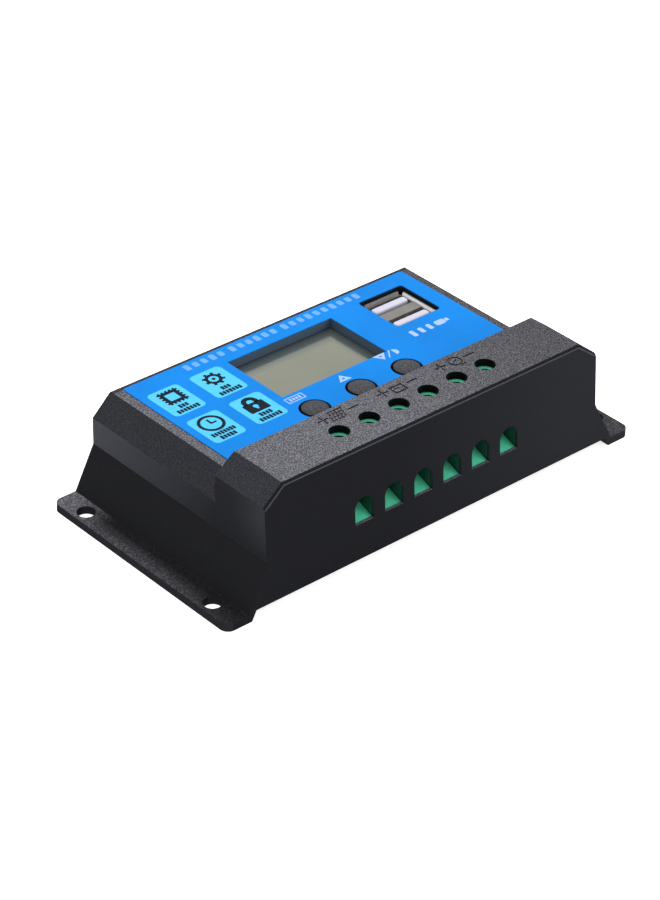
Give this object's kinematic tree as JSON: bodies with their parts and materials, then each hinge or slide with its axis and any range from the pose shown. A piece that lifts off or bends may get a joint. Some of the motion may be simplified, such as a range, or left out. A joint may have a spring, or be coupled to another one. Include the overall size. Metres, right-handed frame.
{
  "type": "solar charge controller",
  "caption": "Wall-mount solar charge controller with display, push keys, double charging socket, screw terminals with rising clamps, and a mounting ear at each end.",
  "frame": {"origin": "middle of the footprint on the mounting plane, under the ears", "axes": "+X along the length, -Y the terminal side with the wire entries, +Z away from the mounting plane, towards the display"},
  "size_m": [0.1338, 0.0668, 0.0329],
  "materials": {
    "housing_black": "moulded ABS, fine spark-eroded texture on top faces, smooth satin sides",
    "cover_black": "moulded ABS, light texture",
    "label_blue": "printed polycarbonate film, semi-gloss",
    "key_black": "moulded, fine grain",
    "switch_black": "moulded",
    "switch_plunger_brown": "moulded",
    "terminal_green": "moulded polyamide",
    "tinned_contact": "tin-plated copper",
    "contact_brass": "gold-flashed contacts",
    "zinc_steel": "zinc-plated steel",
    "cage_steel": "zinc-plated steel",
    "board_green": "solder-masked fibreglass board",
    "display_glass": "reflective grey-green display behind glass",
    "light_guide": "white moulded light guide",
    "display_frame_black": "moulded",
    "socket_steel": "nickel-plated sheet steel",
    "socket_white": "moulded",
    "bar_aluminium": "sawn extrusion, bare",
    "chip_black": "moulded epoxy",
    "capacitor_sleeve": "shrunk sleeve over an aluminium can",
    "choke_copper": "enamelled winding on ferrite"
  },
  "bodies": {
    "housing": {"upper_housing": "housing_black", "front_label": "label_blue", "bottom_cover": "cover_black", "bottom_cover_screws": "zinc_steel", "main_board": "board_green", "board_screws": "zinc_steel", "terminal_block_solar": "terminal_green", "terminal_block_battery": "terminal_green", "terminal_block_load": "terminal_green", "contact_bars": "tinned_contact", "lcd_glass": "display_glass", "lcd_backlight": "light_guide", "lcd_frame": "display_frame_black", "lcd_pins": "tinned_contact", "usb_shell": "socket_steel", "usb_insulator": "socket_white", "usb_contacts": "contact_brass", "tact_switch_1": "switch_black", "tact_switch_2": "switch_black", "tact_switch_3": "switch_black", "heat_sink_bar": "bar_aluminium", "mosfet_1": "chip_black", "mosfet_2": "chip_black", "mosfet_3": "chip_black", "mosfet_4": "chip_black", "mosfet_screws": "zinc_steel", "capacitor_1": "capacitor_sleeve", "capacitor_2": "capacitor_sleeve", "inductor": "choke_copper", "microcontroller": "chip_black", "converter_chip": "chip_black", "schottky_diode": "chip_black"},
    "key_1": {"button_1": "key_black", "switch_plunger_1": "switch_plunger_brown"},
    "key_2": {"button_2": "key_black", "switch_plunger_2": "switch_plunger_brown"},
    "key_3": {"button_3": "key_black", "switch_plunger_3": "switch_plunger_brown"},
    "screw_1": {"terminal_screw_1": "zinc_steel"},
    "cage_1": {"clamp_cage_1": "cage_steel"},
    "screw_2": {"terminal_screw_2": "zinc_steel"},
    "cage_2": {"clamp_cage_2": "cage_steel"},
    "screw_3": {"terminal_screw_3": "zinc_steel"},
    "cage_3": {"clamp_cage_3": "cage_steel"},
    "screw_4": {"terminal_screw_4": "zinc_steel"},
    "cage_4": {"clamp_cage_4": "cage_steel"},
    "screw_5": {"terminal_screw_5": "zinc_steel"},
    "cage_5": {"clamp_cage_5": "cage_steel"},
    "screw_6": {"terminal_screw_6": "zinc_steel"},
    "cage_6": {"clamp_cage_6": "cage_steel"}
  },
  "joints": [
    {"name": "key_1_press", "type": "slide", "parent": "housing", "child": "key_1", "axis": [0, 0, -1], "range_m": [0, 0.0004], "stiffness_N_per_m": 1500, "springref_m": -0.0003},
    {"name": "key_2_press", "type": "slide", "parent": "housing", "child": "key_2", "axis": [0, 0, -1], "range_m": [0, 0.0004], "stiffness_N_per_m": 1500, "springref_m": -0.0003},
    {"name": "key_3_press", "type": "slide", "parent": "housing", "child": "key_3", "axis": [0, 0, -1], "range_m": [0, 0.0004], "stiffness_N_per_m": 1500, "springref_m": -0.0003},
    {"name": "screw_1_turn", "type": "hinge", "parent": "housing", "child": "screw_1", "pos_m": [-0.02375, -0.0227, 0.0249], "axis": [0, 0, -1], "range_deg": [0, 2520]},
    {"name": "cage_1_rise", "type": "slide", "parent": "housing", "child": "cage_1", "axis": [0, 0, 1], "range_m": [0, 0.0035]},
    {"name": "screw_2_turn", "type": "hinge", "parent": "housing", "child": "screw_2", "pos_m": [-0.01425, -0.0227, 0.0249], "axis": [0, 0, -1], "range_deg": [0, 2520]},
    {"name": "cage_2_rise", "type": "slide", "parent": "housing", "child": "cage_2", "axis": [0, 0, 1], "range_m": [0, 0.0035]},
    {"name": "screw_3_turn", "type": "hinge", "parent": "housing", "child": "screw_3", "pos_m": [-0.00475, -0.0227, 0.0249], "axis": [0, 0, -1], "range_deg": [0, 2520]},
    {"name": "cage_3_rise", "type": "slide", "parent": "housing", "child": "cage_3", "axis": [0, 0, 1], "range_m": [0, 0.0035]},
    {"name": "screw_4_turn", "type": "hinge", "parent": "housing", "child": "screw_4", "pos_m": [0.00475, -0.0227, 0.0249], "axis": [0, 0, -1], "range_deg": [0, 2520]},
    {"name": "cage_4_rise", "type": "slide", "parent": "housing", "child": "cage_4", "axis": [0, 0, 1], "range_m": [0, 0.0035]},
    {"name": "screw_5_turn", "type": "hinge", "parent": "housing", "child": "screw_5", "pos_m": [0.01425, -0.0227, 0.0249], "axis": [0, 0, -1], "range_deg": [0, 2520]},
    {"name": "cage_5_rise", "type": "slide", "parent": "housing", "child": "cage_5", "axis": [0, 0, 1], "range_m": [0, 0.0035]},
    {"name": "screw_6_turn", "type": "hinge", "parent": "housing", "child": "screw_6", "pos_m": [0.02375, -0.0227, 0.0249], "axis": [0, 0, -1], "range_deg": [0, 2520]},
    {"name": "cage_6_rise", "type": "slide", "parent": "housing", "child": "cage_6", "axis": [0, 0, 1], "range_m": [0, 0.0035]}
  ],
  "couplings": [
    {"joint": "screw_1_turn", "follows": "cage_1_rise", "rad_per_m": 12566},
    {"joint": "screw_2_turn", "follows": "cage_2_rise", "rad_per_m": 12566},
    {"joint": "screw_3_turn", "follows": "cage_3_rise", "rad_per_m": 12566},
    {"joint": "screw_4_turn", "follows": "cage_4_rise", "rad_per_m": 12566},
    {"joint": "screw_5_turn", "follows": "cage_5_rise", "rad_per_m": 12566},
    {"joint": "screw_6_turn", "follows": "cage_6_rise", "rad_per_m": 12566}
  ]
}
